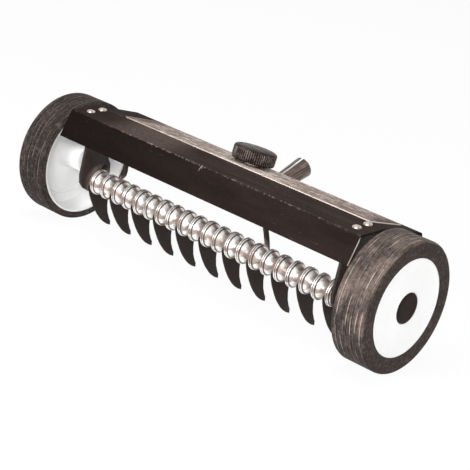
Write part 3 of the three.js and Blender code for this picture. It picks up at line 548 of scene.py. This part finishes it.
def knob_plastic():
    """Dark moulding: ribs painted pale on their outer edges as a highlight, a dusty top and a bright foot."""
    graph = Graph("knob_plastic")
    x, y, z = graph.axes()
    cloud = graph.noise(graph.place, 150, 5, 0.7)
    speck = graph.noise(graph.place, 900, 3, 0.7)
    height = graph.along(y, z, LABEL_NORMAL)
    reach_squared = graph.plus(graph.times(x, x), graph.squares(y, z))
    radius = graph.calc("SQRT", graph.minus(reach_squared, graph.times(height, height)))

    body = graph.blend(cloud, 0.4, 0.6, rgb(20, 14, 12), rgb(40, 31, 28))
    # painted highlight: paler outer edges of the ribs
    painted_crest_highlight = graph.between(radius, KNOB_RADIUS - KNOB_RIB_DEPTH * 0.7, KNOB_RADIUS - KNOB_RIB_DEPTH * 0.2)
    body = graph.mix(graph.times(painted_crest_highlight, graph.between(cloud, 0.4, 0.6, 0.1, 1)), body, rgb(98, 84, 76))
    dust = graph.times(
        graph.between(graph.axes(graph.facing)[2], 0.7, 0.96, 0, 0.7),
        graph.between(cloud, 0.38, 0.6, 0.35, 1),
    )
    body = graph.mix(dust, body, rgb(68, 54, 48))
    body = graph.mix(graph.between(speck, 0.58, 0.72, 0, 0.4), body, rgb(122, 106, 98))
    foot = graph.between(height, KNOB_BASE - 0.8 * MM, KNOB_BASE - 0.4 * MM, 1, 0)
    body = graph.mix(foot, body, rgb(196, 178, 168))
    gloss = graph.plus(graph.between(cloud, 0.3, 0.7, 0.2, 0.34), graph.times(dust, 0.4))
    graph.finish(body, gloss, specular=0.16)
    graph.bump(speck, 0.08 * MM, 0.5)
    return graph.material


def socket_steel():
    """Worn dark paint outside, streaked along the tube; bare and bright in the bore."""
    graph = Graph("socket_steel")
    x, y, z = graph.axes()
    along = graph.along(y, z, SOCKET_RUN)
    above = graph.minus(graph.along(y, z, SOCKET_UP), SOCKET_MOUTH.dot(SOCKET_UP))
    from_mouth = graph.minus(SOCKET_MOUTH.dot(SOCKET_RUN), along)
    turn = graph.calc("ARCTAN2", above, x)
    run = graph.noise(graph.joined(graph.times(turn, 7.5), graph.times(along, 22), 0.0), 1, 5, 0.7)
    cloud = graph.noise(graph.place, 110, 4, 0.6)

    paint = graph.blend(run, 0.4, 0.6, rgb(54, 42, 38), rgb(122, 102, 94))
    # painted shade: the tube darker on its left side
    paint = graph.mix(graph.between(x, 1 * MM, -3 * MM, 0, 0.7), paint, rgb(58, 46, 42))
    paint = graph.mix(graph.between(cloud, 0.5, 0.7, 0, 0.6), paint, rgb(52, 42, 38))
    paint = graph.mix(graph.between(from_mouth, 0.6 * MM, 1.6 * MM, 0.75, 0), paint, rgb(44, 36, 33))
    wall_middle = graph.between(from_mouth, 0, SOCKET_FLARE, *SOCKET_WALL_RADII)
    bore = graph.calc("LESS_THAN", graph.length(x, above), wall_middle)
    paint = graph.mix(bore, paint, rgb(250, 247, 244))
    graph.finish(paint, graph.between(cloud, 0.3, 0.7, 0.26, 0.42), metal=0.45)
    graph.bump(run, 0.1 * MM, 0.5)
    return graph.material


MATERIALS = {
    "deck_paint": deck_paint(),
    "label_foil": label_foil(),
    "bracket_paint": bracket_paint(),
    "tine_black": tine_steel(),
    "spool_aluminium": polished_bead(),
    "zinc_steel": zinc_steel(),
    "rivet_aluminium": rivet_aluminium(),
    "tyre_rubber": tyre_rubber(),
    "rim_plastic": plain_moulding("rim_plastic", rgb(250, 250, 249), rgb(253, 253, 253), 0.4, 900),
    "cap_plastic": plain_moulding("cap_plastic", rgb(36, 28, 25), rgb(50, 40, 37), 0.6, 700, 0.08),
    "knob_plastic": knob_plastic(),
    "socket_steel": socket_steel(),
}


# Meshes

def new_object(name, verts, faces, material):
    mesh = bpy.data.meshes.new(name)
    mesh.from_pydata([tuple(v) for v in verts], [], faces)
    mesh.validate()
    mesh.update()
    mesh.materials.append(material)
    made = bpy.data.objects.new(name, mesh)
    bpy.context.scene.collection.objects.link(made)
    return made


def solid(name, verts, faces, material):
    """New object with its faces turned out of the solid, smooth but for its sharp edges."""
    made = new_object(name, verts, faces, material)
    mesh = made.data
    shape = bmesh.new()
    shape.from_mesh(mesh)
    bmesh.ops.remove_doubles(shape, verts=shape.verts, dist=MERGE_REACH)
    bmesh.ops.dissolve_degenerate(shape, edges=shape.edges, dist=MERGE_REACH)
    bmesh.ops.recalc_face_normals(shape, faces=shape.faces)
    shape.to_mesh(mesh)
    shape.free()
    mesh.polygons.foreach_set("use_smooth", [True] * len(mesh.polygons))
    mesh.set_sharp_from_angle(angle=SHARP_ANGLE)
    return made


def ring_faces(sides, count):
    """Corners of each face of a closed outline of so many points, carried round in so many steps."""
    for i in range(sides):
        here = i * count
        there = (i + 1) % sides * count
        for j in range(count):
            after = (j + 1) % count
            yield here + j, here + after, there + after, there + j


def turned(name, outline, sides, material):
    """Closed outline of (along, radius) turned about the local X axis."""
    verts = []
    for i in range(sides):
        angle = FULL_TURN * i / sides
        verts += [(along, -radius * math.sin(angle), radius * math.cos(angle)) for along, radius in outline]
    return solid(name, verts, list(ring_faces(sides, len(outline))), material)


def rounded(outline, radius, steps):
    """Closed outline with its corners eased, each by at most the radius."""
    points = [Vector(p) for p in outline]
    eased = []
    for i, corner in enumerate(points):
        before = points[i - 1] - corner
        after = points[(i + 1) % len(points)] - corner
        reach = min(radius, before.length * 0.45, after.length * 0.45)
        start = corner + before.normalized() * reach
        end = corner + after.normalized() * reach
        for j in range(steps + 1):
            share = j / steps
            eased.append(start.lerp(corner, share).lerp(corner.lerp(end, share), share))
    return eased


def stand_for(made, node, body):
    bpy.context.view_layer.update()
    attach(made, body)
    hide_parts(node)


# Beads

def make_beads():
    outline = [(SPOOL_LENGTH * along, SPOOL_RADIUS * radius) for along, radius in SPOOL_SHAPE]
    for name in sorted(n for n in NODES if n.startswith("spool_")):
        made = turned(name + "_turned", outline, BEAD_SIDES, MATERIALS["spool_aluminium"])
        made.location = (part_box(name)[0].x, SHAFT.y, SHAFT.z)
        stand_for(made, name, "head")


# Wheels: outlines run from the inner face outwards

def tyre_outline():
    lip = WHEEL_WIDTH - 4.3 * MM
    points = [
        (0, TYRE_SEAT), (0, WHEEL_RADIUS * 0.975), (0.6 * MM, WHEEL_RADIUS * 0.994), (1.5 * MM, WHEEL_RADIUS),
    ]
    for number in range(1, TREAD_GROOVES + 1):
        start = WHEEL_WIDTH * TREAD_PITCH * (number + 0.2)
        floor = WHEEL_RADIUS - GROOVE_DEPTH
        points += [
            (start, WHEEL_RADIUS), (start + GROOVE_WIDTH * 0.25, floor),
            (start + GROOVE_WIDTH * 0.75, floor), (start + GROOVE_WIDTH, WHEEL_RADIUS),
        ]
    shoulder = (
        (0.915, 1.0), (0.945, 0.997), (0.968, 0.99), (0.986, 0.978), (0.997, 0.96), (1.0, 0.935), (1.0, 0.86),
        (0.998, 0.815), (0.99, 0.782), (0.982, 0.76), (0.976, 0.747),
    )
    points += [(WHEEL_WIDTH * along, WHEEL_RADIUS * radius) for along, radius in shoulder]
    return points + [(lip, DISC_RADIUS), (lip, TYRE_SEAT)]


def rim_outline():
    outer = TYRE_SEAT - WHEEL_GAP
    inner = outer - 2.1 * MM
    plate = DISC_RADIUS - WHEEL_GAP
    hollow = plate - 2.1 * MM
    front = WHEEL_WIDTH - 0.8 * MM
    dished = front - 0.35 * MM
    seat = front - 1.5 * MM
    barrel_end = WHEEL_WIDTH - 4.5 * MM
    back = front - 3 * MM
    cap = CAP_RADIUS + 0.4 * MM
    pocket = HUB_RADIUS * 0.74
    sharp = [
        (0.8 * MM, inner), (0.8 * MM, outer), (barrel_end, outer), (barrel_end, plate), (front, plate),
        (front, plate - 2.2 * MM), (dished, plate - 3 * MM), (dished, cap + 1.6 * MM),
        (front, cap + 0.9 * MM), (front, cap), (seat, cap),
        (seat, pocket), (seat - 5.5 * MM, pocket), (seat - 5.5 * MM, AXLE_BORE), (0.7 * MM, AXLE_BORE),
        (0.7 * MM, HUB_RADIUS), (back - 2.1 * MM, HUB_RADIUS), (back, HUB_RADIUS + 2.1 * MM), (back, hollow),
        (barrel_end - 3 * MM, hollow), (barrel_end - 3 * MM, inner),
    ]
    return rounded(sharp, 0.45 * MM, 2)


def cap_outline():
    seat = WHEEL_WIDTH - 2.25 * MM
    front = WHEEL_WIDTH - 0.1 * MM
    centre = 0.4 * MM
    return [
        (seat, centre), (seat, CAP_RADIUS), (front - 0.8 * MM, CAP_RADIUS),
        (front - 0.3 * MM, CAP_RADIUS * 0.985), (front - 0.05 * MM, CAP_RADIUS * 0.95),
        (front, CAP_RADIUS * 0.9), (front - 0.05 * MM, CAP_RADIUS * 0.55),
        (front - 0.12 * MM, CAP_RADIUS * 0.5), (front - 0.12 * MM, centre),
    ]


def make_wheels():
    pieces = (
        ("tyre", tyre_outline(), TYRE_SIDES, "tyre_rubber"),
        ("rim", rim_outline(), RIM_SIDES, "rim_plastic"),
        ("hub_cap", cap_outline(), CAP_SIDES, "cap_plastic"),
    )
    for word, side in (("left", -1), ("right", 1)):
        for stem, outline, sides, slot in pieces:
            placed = [(side * (WHEEL_INNER_X + along), radius) for along, radius in outline]
            made = turned(f"{stem}_{word}_moulded", placed, sides, MATERIALS[slot])
            made.location = AXLE
            stand_for(made, f"{stem}_{word}", "wheel_" + word)


# Knob

def knob_outline():
    """(height, radius, share of the rib's depth) from the foot to the crown."""
    grip = (
        (0.0, 0.84, 0), (0.0, 0.9, 0.1), (0.03, 0.945, 0.5), (0.08, 0.98, 0.9), (0.14, 0.995, 1),
        (0.4, 1.0, 1), (0.7, 1.0, 1), (0.77, 0.992, 0.9), (0.83, 0.97, 0.6), (0.875, 0.935, 0.25),
        (0.91, 0.885, 0.05), (0.94, 0.81, 0), (0.965, 0.7, 0), (0.985, 0.55, 0), (0.997, 0.36, 0),
        (1.0, 0.18, 0), (1.0, 0.015, 0),
    )
    foot = [
        (KNOB_FOOT, 4.1 * MM, 0), (KNOB_FOOT, 6.3 * MM, 0), (KNOB_BASE - 0.5 * MM, 6.5 * MM, 0),
        (KNOB_BASE, 7.2 * MM, 0),
    ]
    tall = KNOB_TOP - KNOB_BASE
    return foot + [(KNOB_BASE + tall * height, KNOB_RADIUS * reach, share) for height, reach, share in grip]


def make_knob():
    outline = knob_outline()
    sides = KNOB_RIBS * KNOB_RIB_STEPS
    upright = Matrix((Vector((1, 0, 0)), SLOPE, LABEL_NORMAL)).transposed()
    verts = []
    for i in range(sides):
        angle = FULL_TURN * i / sides
        wave = 0.5 - 0.5 * math.cos(angle * KNOB_RIBS)
        for height, reach, share in outline:
            out = reach - KNOB_RIB_DEPTH * share * wave ** 2
            verts.append(upright @ Vector((out * math.cos(angle), out * math.sin(angle), height)))
    faces = [(a, d, c, b) for a, b, c, d in ring_faces(sides, len(outline))]
    made = solid("knob_ribbed", verts, faces, MATERIALS["knob_plastic"])
    made.location = RIDGE + SLOPE * ((AXLE.y + KNOB_FROM_AXLE - RIDGE.y) / SLOPE.y)
    stand_for(made, "knob", "clamp_knob")


# Rivets

def rivet_outline():
    """Tail below the sheet, shank through it and domed head above it."""
    centre = 0.2 * MM
    dome = ((0.3, 0.985), (0.6, 0.88), (0.84, 0.66), (0.96, 0.38))
    return [
        (-6.7 * MM, centre), (-6.7 * MM, 2.6 * MM), (-6.2 * MM, 3.4 * MM), (-5.15 * MM, 3.5 * MM),
        (-5.15 * MM, 2.4 * MM), (0.05 * MM, 2.4 * MM), (0.05 * MM, RIVET_REACH),
        *((RIVET_HEIGHT * height, RIVET_REACH * radius) for height, radius in dome),
        (RIVET_HEIGHT, centre),
    ]


def make_rivets():
    run = (RIDGE - FOLD).normalized()
    normal = Vector((0, -run.z, run.y))
    for name in (n for n in NODES if n.startswith("rivet_")):
        low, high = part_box(name)
        place = FOLD.lerp(RIDGE, RIVET_SHARES[name.split("_")[-1]])
        made = turned(name + "_head", rivet_outline(), RIVET_SIDES, MATERIALS["rivet_aluminium"])
        made.matrix_world = Matrix((
            (normal.x, 1, run.x, (low.x + high.x) / 2),
            (normal.y, 0, run.y, place.y),
            (normal.z, 0, run.z, place.z),
            (0, 0, 0, 1),
        ))
        stand_for(made, name, "head")


# CAD nodes that stay, with the finish of their slot in the record

def dress_cad():
    slots = {entry["node"]: entry["material_slot"] for entry in frame["record"]["subparts"]}
    for name, node in NODES.items():
        if node.hide_render:
            continue
        node.data.materials.clear()
        node.data.materials.append(MATERIALS[slots[name]])
        weld = node.modifiers.new("weld", "WELD")
        weld.merge_threshold = WELD_REACH
        flat = node.modifiers.new("flat_faces", "DECIMATE")
        flat.decimate_type = "DISSOLVE"
        flat.angle_limit = FLAT_ANGLE
        bevel = node.modifiers.new("eased_edges", "BEVEL")
        bevel.width = EASED_EDGES.get(name, EASED_EDGE)
        bevel.segments = 2
        bevel.use_clamp_overlap = False
        bevel.limit_method = "ANGLE"
        bevel.angle_limit = EASED_ANGLE
        bevel.harden_normals = True
        node.data.polygons.foreach_set("use_smooth", [True] * len(node.data.polygons))


# Studio

def seen_ray(tree):
    """One for camera, glossy and transmission rays, else zero."""
    rays = tree.nodes.new("ShaderNodeLightPath")
    total = rays.outputs["Is Camera Ray"]
    for kind in ("Is Glossy Ray", "Is Transmission Ray"):
        larger = tree.nodes.new("ShaderNodeMath")
        larger.operation = "MAXIMUM"
        tree.links.new(total, larger.inputs[0])
        tree.links.new(rays.outputs[kind], larger.inputs[1])
        total = larger.outputs[0]
    return total


def floor_white():
    """Pale floor: mostly its own white where it is seen, the rest takes the object's shadow."""
    graph = Graph("floor_white")
    tree = graph.tree
    graph.finish((0.93, 0.93, 0.93, 1), 1.0, specular=0.0)
    white = graph.add("ShaderNodeEmission")
    white.inputs["Color"].default_value = (1, 1, 1, 1)
    white.inputs["Strength"].default_value = 1
    mix = graph.add("ShaderNodeMixShader")
    tree.links.new(graph.times(seen_ray(tree), FLOOR_OWN_WHITE_SHARE), mix.inputs[0])
    tree.links.new(graph.shader.outputs[0], mix.inputs[1])
    tree.links.new(white.outputs[0], mix.inputs[2])
    tree.links.new(mix.outputs[0], tree.nodes["Material Output"].inputs["Surface"])
    return graph.material


def make_world():
    """White where it is seen, a dimmer light on the object."""
    world = bpy.data.worlds.new("studio")
    bpy.context.scene.world = world
    world.use_nodes = True
    tree = world.node_tree
    tree.nodes.clear()
    strength = tree.nodes.new("ShaderNodeMapRange")
    strength.inputs["To Min"].default_value = WORLD_LIGHT
    strength.inputs["To Max"].default_value = 1.0
    tree.links.new(seen_ray(tree), strength.inputs["Value"])
    backdrop = tree.nodes.new("ShaderNodeBackground")
    backdrop.inputs["Color"].default_value = (1, 1, 1, 1)
    tree.links.new(strength.outputs["Result"], backdrop.inputs["Strength"])
    output = tree.nodes.new("ShaderNodeOutputWorld")
    tree.links.new(backdrop.outputs[0], output.inputs["Surface"])


def make_floor():
    corners = [(FLOOR_HALF * x, FLOOR_HALF * y, 0) for x, y in ((-1, -1), (1, -1), (1, 1), (-1, 1))]
    floor = new_object("floor", corners, [(0, 1, 2, 3)], floor_white())


def make_lamps():
    for name, place, side, watts in LAMPS:
        lamp = bpy.data.lights.new(name, "AREA")
        lamp.shape = "SQUARE"
        lamp.size = side
        lamp.energy = watts
        made = bpy.data.objects.new(name, lamp)
        made.location = place
        made.rotation_euler = (LAMP_TARGET - Vector(place)).to_track_quat("-Z", "Y").to_euler()
        bpy.context.scene.collection.objects.link(made)


def make_camera():
    data = bpy.data.cameras.new("camera")
    data.lens = CAMERA_LENS
    data.sensor_width = CAMERA_SENSOR
    data.clip_end = CAMERA_REACH
    made = bpy.data.objects.new("camera", data)
    place = AXLE + Vector(CAMERA_FROM_AXLE)
    rows = zip(CAMERA_RIGHT, CAMERA_UP, CAMERA_BACK, place)
    made.matrix_world = Matrix((*rows, (0, 0, 0, 1)))
    bpy.context.scene.collection.objects.link(made)
    bpy.context.scene.camera = made


make_beads()
make_wheels()
make_knob()
make_rivets()
dress_cad()
make_world()
make_floor()
make_lamps()
make_camera()

view = bpy.context.scene.view_settings
view.view_transform = "Standard"
